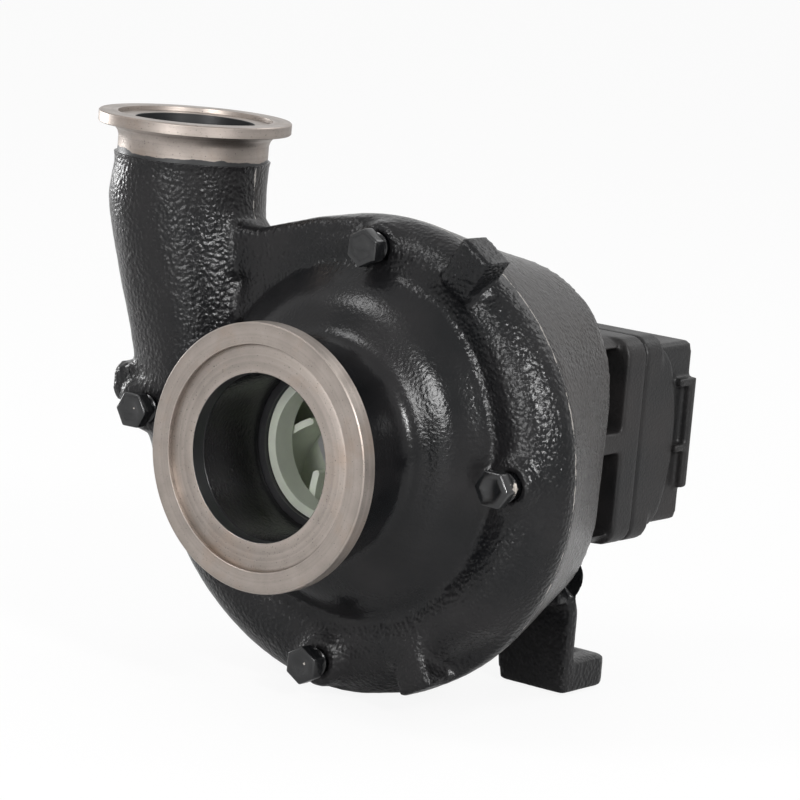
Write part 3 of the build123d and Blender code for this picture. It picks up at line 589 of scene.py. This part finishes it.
# ---------------------------------------------------------------- pieces
class PUMP_OT_casting(bpy.types.Operator):
    """Volute casting with rounded corners and its pebbled skin"""

    bl_idname = "pump.casting"
    bl_label = "Volute casting"

    @staticmethod
    def add_forms(mesh_tool):
        """The drum's rounded square back, and the web between the nozzle and the scroll's start."""
        add_shell(mesh_tool, (82.0, 108.0, 135.9), drum_radius, lambda angle, y: 72.0)
        add_prism(mesh_tool, ((-80, 60), (-81, 80.5), (-62, 81), (-32, 90), (-8, 94), (-8, 90), (-30, 80),
                              (-52, 60)), 65.0, 91.0)

    @staticmethod
    def shape(vert):
        """Hold the drum to its taper, fill out the throat and slim the nozzle under its rim."""
        x, y, z = vert.co / MM
        radius, angle = polar(vert.co)
        nozzle_side = -55 if z > 90 else -74
        beside_nozzle = x < nozzle_side and z > -20
        if y > RIM_STATION and not beside_nozzle:
            limit = max(drum_radius(angle, y), scroll_reach(angle, y))
            if radius > limit:
                vert.co.x *= limit / radius
                vert.co.z *= limit / radius
        if x < THROAT_SIDE and THROAT_FOOT < z < THROAT_TOP and vert.normal.x < 0:
            above = min(THROAT_SWELL, 0.125 * (THROAT_TOP - z))
            swell = above if z > 0 else THROAT_SWELL * (1 - z / THROAT_FOOT)
            vert.co.x -= swell * min(1.0, (THROAT_SIDE - x) / 12) * MM
        if z > 84 and x < -72:
            offset = Vector((vert.co.x, vert.co.y)) - DISCHARGE_CENTRE.xy
            limit = (NOZZLE_RADIUS + NOZZLE_TAPER * max(0.0, DISCHARGE_CUT / MM - z)) * MM
            if offset.length > limit and z < 105.5:
                vert.co.x, vert.co.y = DISCHARGE_CENTRE.xy + offset * (limit / offset.length)

    def execute(self, context):
        sizes = context.scene.pump_casting
        mesh_tool = cast_copy("volute_casing", sizes.voxel, self.add_forms)
        mesh_tool.normal_update()
        for vert in mesh_tool.verts:
            self.shape(vert)
        crisp = [(clock(a, r - 4, 64), 13 * MM) for a, r in LUGS]
        crisp += [(clock(a, r, y), 7 * MM) for a, r, y in PLUGS.values()]
        cast = [v for v in mesh_tool.verts if v.co.y < JOINT_FACE and v.co.z < DISCHARGE_CUT
                and not (polar(v.co)[0] < 40 and v.co.y < 52 * MM)]
        soft = [v for v in cast if all((v.co - spot).length > reach for spot, reach in crisp)]
        smooth(mesh_tool, cast, 2)
        smooth(mesh_tool, soft, sizes.rounding)
        mesh_tool.normal_update()
        for vert in cast:
            cone = 0.25 if polar(vert.co)[0] < 72 and vert.co.y < 60 * MM else 1.0
            grain = noise.noise(vert.co / sizes.pebble_size)
            slow = noise.noise(vert.co / (12 * sizes.pebble_size))
            vert.co += vert.normal * sizes.pebble_height * cone * (grain + slow)
        cut_and_cap(mesh_tool, (0, SUCTION_CUT, 0), (0, -1, 0))
        cut_and_cap(mesh_tool, (0, 0, DISCHARGE_CUT), (0, 0, 1))
        piece = new_piece("casting", mesh_tool)
        enamel = enamel_material("casting_enamel", context.scene.pump_colours.enamel, seam=True)
        finish_piece(piece, enamel, "root", ["volute_casing"])
        return {"FINISHED"}


class PUMP_OT_rims(bpy.types.Operator):
    """Turned rims of the suction and discharge flanges"""

    bl_idname = "pump.rims"
    bl_label = "Turned rims"

    def execute(self, context):
        bare = context.scene.pump_colours.bare_iron
        cut = SUCTION_CUT / MM
        suction = turned_ring("suction_rim", [
            (BORE_RADIUS, cut), (BORE_RADIUS, 1.7), (34.45, 1.5), (45.55, 1.5), (45.8, 1.65), (45.95, 0.12),
            (46.1, 0.0), (54.3, 0.0), (54.75, 0.45), (54.75, 7.0), (54.2, 7.5), (50.5, cut)],
            Vector(SUCTION_AXIS), Vector((0, 1, 0)))
        finish_piece(suction, turned_material("suction_iron", bare, SUCTION_AXIS, (1, 0, 1), bore_paint),
                     "root", ["volute_casing"])
        sharpen(suction)
        low = (DISCHARGE_CUT - DISCHARGE_CENTRE.z) / MM
        discharge = turned_ring("discharge_rim", [
            (25.4, low), (25.4, -2.25), (25.65, -2.0), (32.8, -2.0), (33.0, -1.9), (33.15, -0.12),
            (33.3, 0.0), (40.8, 0.0), (41.25, -0.45), (41.25, -4.6), (40.85, -5.0), (36.0, -5.0),
            (35.4, -5.8), (34.0, -6.9), (32.8, -8.4), (32.2, -10.4), (32.2, low)],
            DISCHARGE_CENTRE, Vector((0, 0, 1)))
        centre = (DISCHARGE_CENTRE.x, DISCHARGE_CENTRE.y, 90 * MM)
        finish_piece(discharge, turned_material("discharge_iron", bare, centre, (1, 1, 0), band_paint),
                     "root", ["volute_casing"])
        sharpen(discharge)
        return {"FINISHED"}


class PUMP_OT_plugs(bpy.types.Operator):
    """Hex-headed pipe plugs with their threads showing"""

    bl_idname = "pump.plugs"
    bl_label = "Pipe plugs"

    @staticmethod
    def add_head(mesh_tool):
        """A hexagon extruded towards the front, its edges broken and its face dished."""
        bmesh.ops.create_circle(mesh_tool, cap_ends=True, segments=6, radius=HEX_ACROSS * MM / math.sqrt(3))
        grown = bmesh.ops.extrude_face_region(mesh_tool, geom=mesh_tool.faces[:])
        top = [item for item in grown["geom"] if isinstance(item, bmesh.types.BMVert)]
        bmesh.ops.translate(mesh_tool, verts=top, vec=(0, 0, HEX_HEIGHT * MM))
        bmesh.ops.recalc_face_normals(mesh_tool, faces=mesh_tool.faces)
        bmesh.ops.bevel(mesh_tool, geom=mesh_tool.edges[:], offset=0.7 * MM, segments=3,
                        profile=0.5, affect="EDGES", material=-1)
        faces = sorted(mesh_tool.faces, key=lambda f: f.calc_center_median().z)
        for thickness, depth in ((2.6, 0.0), (0.8, -0.35)):
            bmesh.ops.inset_individual(mesh_tool, faces=[faces[-1]], thickness=thickness * MM,
                                       depth=depth * MM)

    @staticmethod
    def add_thread(mesh_tool):
        """Thread under the head, turned as rings at its pitch."""
        profile = [(0.0, 1.0), (THREAD_ROOT, 1.0)]
        for ring in range(3):
            top = 0.2 - ring * THREAD_PITCH
            profile += [(THREAD_ROOT, top), (THREAD_CREST, top - 0.45 * THREAD_PITCH),
                        (THREAD_CREST, top - 0.55 * THREAD_PITCH)]
        profile += [(5.5, -4.4), (5.5, -9.0), (0.0, -9.0)]
        verts = [mesh_tool.verts.new((r * MM, 0, t * MM)) for r, t in profile]
        edges = [mesh_tool.edges.new(pair) for pair in zip(verts, verts[1:])]
        bmesh.ops.spin(mesh_tool, geom=verts + edges, cent=(0, 0, 0), axis=(0, 0, 1),
                       angle=math.tau, steps=28, use_merge=True, use_duplicate=False)

    def execute(self, context):
        base = context.scene.pump_colours.enamel
        for seed, (name, (angle, radius, face)) in enumerate(PLUGS.items()):
            proud, chip_size, chip_place = PLUG_HEADS[name]
            mesh_tool = bmesh.new()
            self.add_head(mesh_tool)
            self.add_thread(mesh_tool)
            bmesh.ops.remove_doubles(mesh_tool, verts=mesh_tool.verts, dist=0.001 * MM)
            bmesh.ops.recalc_face_normals(mesh_tool, faces=mesh_tool.faces)
            spot = clock(angle, radius, face)
            turn = Matrix.Translation(spot + Vector((0, -proud * MM, 0)))
            turn = turn @ Matrix.Rotation(math.radians(angle), 4, "Y")
            turn = turn @ Matrix.Rotation(math.radians(90), 4, "X")
            bmesh.ops.transform(mesh_tool, matrix=turn, verts=mesh_tool.verts)
            piece = new_piece(name + "_hex", mesh_tool)
            paint = plug_material(name + "_enamel", base, spot + Vector(chip_place) * MM,
                                  chip_size * MM, seed * 3.7)
            finish_piece(piece, paint, "root", [name])
            sharpen(piece)
        return {"FINISHED"}


class PUMP_OT_bracket(bpy.types.Operator):
    """Cast frame with its feet"""

    bl_idname = "pump.bracket"
    bl_label = "Mounting frame"

    @staticmethod
    def add_forms(mesh_tool):
        """The flange, solid out to the casting's rounded square."""
        add_shell(mesh_tool, (136.3, 146.0), drum_radius, lambda angle, y: 61.0)

    @staticmethod
    def shape(vert):
        """Hold the flange to the casing's taper, and end the plate's corners at its back."""
        x, y, z = vert.co / MM
        radius, angle = polar(vert.co)
        if abs(x) > 45 and -72 < z < -40 and y > FLANGE_STATION and radius > 62:
            # The plate's lower corners run down into the legs' full thickness
            back = FLANGE_STATION + PLATE_THICKNESS * min(1.0, max(0.0, (-z - 60) / 12))
            vert.co.y = min(vert.co.y, back * MM)
        in_leg = abs(x) < LEG_SIDE and z < -40
        if y < 135.9 or radius < 60 or in_leg or y > FLANGE_STATION + 0.3 and z < 20:
            return
        limit = min(1.0, drum_radius(angle, y) / radius)
        vert.co.x *= limit
        vert.co.z *= limit
        if radius > 62:
            vert.co.y = min(vert.co.y, FLANGE_STATION * MM)

    def execute(self, context):
        sizes = context.scene.pump_casting
        mesh_tool = cast_copy("mounting_frame", sizes.voxel, self.add_forms)
        for vert in mesh_tool.verts:
            self.shape(vert)
        cast = [v for v in mesh_tool.verts if v.co.y > 136.8 * MM]
        smooth(mesh_tool, cast, 3)
        mesh_tool.normal_update()
        for vert in cast:
            vert.co += vert.normal * 0.6 * sizes.pebble_height * noise.noise(vert.co / sizes.pebble_size)
        piece = new_piece("bracket", mesh_tool)
        enamel = enamel_material("bracket_enamel", context.scene.pump_colours.enamel, gloss=0.27)
        finish_piece(piece, enamel, "root", ["mounting_frame"])
        return {"FINISHED"}


class PUMP_OT_motor(bpy.types.Operator):
    """Castings of the hydraulic motor"""

    bl_idname = "pump.motor"
    bl_label = "Motor castings"

    def execute(self, context):
        sizes = context.scene.pump_casting
        paint = enamel_material("motor_enamel", context.scene.pump_colours.motor_enamel, gloss=0.40,
                                pebbles=900.0, distance=0.10 * MM)
        for node, shape, add_forms in (
                ("motor_front_cover", self.fill_outline, self.front_forms),
                ("motor_body", self.fill_outline, self.body_forms),
                ("motor_rear_cover", self.fill_rear, self.rear_forms)):
            mesh_tool = cast_copy(node, sizes.motor_voxel, add_forms)
            for vert in mesh_tool.verts:
                shape(vert)
            smooth(mesh_tool, mesh_tool.verts, 2)
            piece = new_piece(node + "_cast", mesh_tool)
            finish_piece(piece, paint, "root", [node])
        return {"FINISHED"}

    @staticmethod
    def front_forms(mesh_tool):
        """Solid ends before and behind the cover's bolt pockets."""
        for near, far in ((152.0, 157.0), (166.5, 179.9)):
            add_prism(mesh_tool, rounded_box(MOTOR_SOLID, MOTOR_CORNER), near, far)

    @staticmethod
    def body_forms(mesh_tool):
        """The body's flat sides, solid out to its corners."""
        add_prism(mesh_tool, rounded_box(MOTOR_SOLID, MOTOR_CORNER), 180.1, 192.8)

    @staticmethod
    def rear_forms(mesh_tool):
        """Solid right side over the tie bolts, and the lip behind the pad's recess."""
        add_prism(mesh_tool, rounded_box((36, 54, -37, 37), 3.0), 194.0, 217.9)
        add_prism(mesh_tool, rounded_box((50, 58, -22, 23.5), 1.5), 213.4, 217.9)

    @staticmethod
    def fill_outline(vert):
        """Carry the front cover and the body out, and the cover's face to the flange."""
        if vert.co.y < 158.5 * MM and polar(vert.co)[0] > 31:
            vert.co.y -= 6.6 * MM
        carry_out(vert, MOTOR_SOLID, MOTOR_SHOWN)

    @staticmethod
    def fill_rear(vert):
        """Carry the rear cover out."""
        carry_out(vert, REAR_SOLID, REAR_SHOWN)


class PUMP_OT_bolts(bpy.types.Operator):
    """Bolts, moved with the castings' shown faces"""

    bl_idname = "pump.bolts"
    bl_label = "Bolts"

    def execute(self, context):
        zinc = plain_material("dark_zinc", (0.16, 0.16, 0.165), 0.38, 0.8, 1200.0)
        for node, (inward, forward) in BOLT_MOVES.items():
            mesh_tool = bmesh.new()
            mesh_tool.from_mesh(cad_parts[node].data)
            for vert in mesh_tool.verts:
                vert.co.x -= math.copysign(inward * MM, vert.co.x)
                vert.co.z -= math.copysign(inward * MM, vert.co.z)
                vert.co.y -= forward * MM
            piece = new_piece(node + "_set", mesh_tool)
            finish_piece(piece, zinc, "root", [node])
            sharpen(piece)
        return {"FINISHED"}


class PUMP_OT_finishes(bpy.types.Operator):
    """Finishes of the pieces that keep their frame shapes"""

    bl_idname = "pump.finishes"
    bl_label = "Finishes"

    def execute(self, context):
        colours = context.scene.pump_colours
        nylon = plain_material("moulded_nylon", colours.nylon, 0.42, spread=0.08, subsurface=0.25)
        ground = plain_material("ground_steel", (0.55, 0.55, 0.56), 0.30, 1.0, 1600.0)
        stainless = plain_material("stainless", (0.60, 0.60, 0.60), 0.33, 1.0, 1400.0)
        bronze = plain_material("bronze", (0.55, 0.36, 0.16), 0.36, 1.0, 1300.0)
        ceramic = plain_material("lapped_ceramic", (0.80, 0.78, 0.72), 0.25, 0.0, 1500.0, 0.005 * MM)
        carbon = plain_material("lapped_carbon", (0.03, 0.03, 0.032), 0.35, 0.0, 1500.0, 0.01 * MM)
        rubber = plain_material("seal_rubber", (0.02, 0.02, 0.02), 0.62)
        finishes = {
            "impeller": nylon, "wear_ring": carbon, "impeller_nut": stainless,
            "impeller_washer": stainless, "seal_head": stainless, "seal_seat": ceramic,
            "seal_face": carbon, "seat_cup": rubber, "lip_seal": rubber,
            "drive_bush_front": bronze, "drive_bush_rear": bronze,
            "idler_bush_front": bronze, "idler_bush_rear": bronze,
        }
        for name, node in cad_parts.items():
            castings = name in ("volute_casing", "mounting_frame") or name.startswith("motor_")
            if castings or name in PLUGS or name in BOLT_MOVES:
                continue
            node.data.materials.clear()
            node.data.materials.append(finishes.get(name, ground))
        return {"FINISHED"}


class PUMP_OT_stage(bpy.types.Operator):
    """Pale floor, soft lights and the camera"""

    bl_idname = "pump.stage"
    bl_label = "Stage"

    def execute(self, context):
        studio = context.scene.pump_studio
        scene = context.scene
        floor_tool = bmesh.new()
        bmesh.ops.create_grid(floor_tool, x_segments=1, y_segments=1, size=6.0,
                              matrix=Matrix.Translation((0, 0, cad_box[0][2])))
        floor = new_piece("floor", floor_tool)
        material, tree, shader, _ = start_material("pale_floor")
        shader.inputs["Base Color"].default_value = colour(studio.floor)
        shader.inputs["Roughness"].default_value = 0.6
        # Seen by the camera, the floor is nearly the backdrop's white and keeps a soft shadow
        glow = link_node(tree, "ShaderNodeEmission", Color=(1, 1, 1, 1), Strength=1.0)
        seen = tree.nodes.new("ShaderNodeLightPath").outputs["Is Camera Ray"]
        share = math_node(tree, "MULTIPLY", seen, 0.9)
        blend = link_node(tree, "ShaderNodeMixShader", i0=share, i1=shader.outputs[0], i2=glow.outputs[0])
        tree.links.new(blend.outputs[0], tree.nodes["Material Output"].inputs["Surface"])
        floor.data.materials.append(material)

        world = bpy.data.worlds.new("studio")
        scene.world = world
        world.use_nodes = True
        tree = world.node_tree
        light_path = tree.nodes.new("ShaderNodeLightPath")
        seen = math_node(tree, "MAXIMUM", light_path.outputs["Is Camera Ray"],
                         light_path.outputs["Is Glossy Ray"])
        strength = ramp(tree, seen, 0.0, 1.0, studio.world, 1.0)
        background = tree.nodes["Background"]
        background.inputs["Color"].default_value = (1, 1, 1, 1)
        tree.links.new(strength, background.inputs["Strength"])

        target = Vector((0, 0.09, 0.01))
        # Name, place, power and size; the sheen lamps show only as reflections
        lamps = (
            ("key", (-0.9, -1.1, 1.4), studio.key * 0.7, 0.5),
            ("front", (0.3, -1.7, 0.6), studio.key * 0.6, 0.5),
            ("right", (1.4, -0.55, 0.9), studio.key * 0.8, 0.3),
            ("back", (0.5, 1.5, 1.3), studio.key * 0.4, 0.8),
            ("sheen_front", (0.25, -1.7, 0.45), studio.key * 0.85, 0.5),
            ("sheen_right", (1.5, -0.6, 0.8), studio.key * 1.6, 0.28),
            ("sheen_left", (-1.5, 0.15, 0.1), studio.key * 0.45, 0.3),
        )
        for name, place, power, size in lamps:
            lamp = bpy.data.lights.new(name, "AREA")
            lamp.energy = power
            lamp.size = size
            lamp_object = bpy.data.objects.new(name, lamp)
            lamp_object.location = place
            lamp_object.rotation_euler = (target - Vector(place)).to_track_quat("-Z", "Y").to_euler()
            lamp_object.visible_diffuse = not name.startswith("sheen")
            context.collection.objects.link(lamp_object)

        # Bearing from the front, height and roll in radians, and the distance
        azimuth, height, roll, distance = 0.6385, 0.1700, 0.0875, 1.6
        back = Vector((math.sin(azimuth) * math.cos(height), -math.cos(azimuth) * math.cos(height),
                       math.sin(height)))
        level = Vector((math.cos(azimuth), math.sin(azimuth), 0))
        upright = back.cross(level)
        right = math.cos(roll) * level + math.sin(roll) * upright
        up = -math.sin(roll) * level + math.cos(roll) * upright
        # It looks past the scroll's middle, a little to the right and above
        aim = Vector((0, 76 * MM, 0)) + right * 11.6134 * MM + up * 17.0884 * MM
        camera_data = bpy.data.cameras.new("camera")
        camera_data.sensor_width = 36.0
        camera_data.lens = 173.592
        camera_data.clip_end = 50.0
        camera = bpy.data.objects.new("camera", camera_data)
        turn = Matrix((right, up, back)).transposed().to_4x4()
        camera.matrix_world = Matrix.Translation(aim + back * distance) @ turn
        context.collection.objects.link(camera)
        scene.camera = camera
        scene.view_settings.view_transform = "Standard"
        return {"FINISHED"}


class PUMP_PT_panel(bpy.types.Panel):
    """Pump operators and settings"""

    bl_label = "Pump"
    bl_idname = "PUMP_PT_panel"
    bl_space_type = "VIEW_3D"
    bl_region_type = "UI"
    bl_category = "Pump"

    def draw(self, context):
        for group in (context.scene.pump_casting, context.scene.pump_colours, context.scene.pump_studio):
            for name in group.__annotations__:
                self.layout.prop(group, name)
        for operator in OPERATORS:
            self.layout.operator(operator.bl_idname)


SETTINGS = {"pump_casting": PumpCastingSettings, "pump_colours": PumpColourSettings,
            "pump_studio": PumpStudioSettings}
OPERATORS = (PUMP_OT_stage, PUMP_OT_casting, PUMP_OT_rims, PUMP_OT_plugs, PUMP_OT_bracket,
             PUMP_OT_motor, PUMP_OT_bolts, PUMP_OT_finishes)
CLASSES = (*SETTINGS.values(), *OPERATORS, PUMP_PT_panel)


def register():
    for item in CLASSES:
        bpy.utils.register_class(item)
    for name, settings in SETTINGS.items():
        setattr(bpy.types.Scene, name, bpy.props.PointerProperty(type=settings))


def unregister():
    for name in SETTINGS:
        delattr(bpy.types.Scene, name)
    for item in reversed(CLASSES):
        bpy.utils.unregister_class(item)


def main():
    register()
    for operator in OPERATORS:
        group, call = operator.bl_idname.split(".")
        getattr(getattr(bpy.ops, group), call)()


if __name__ == "__main__":
    main()
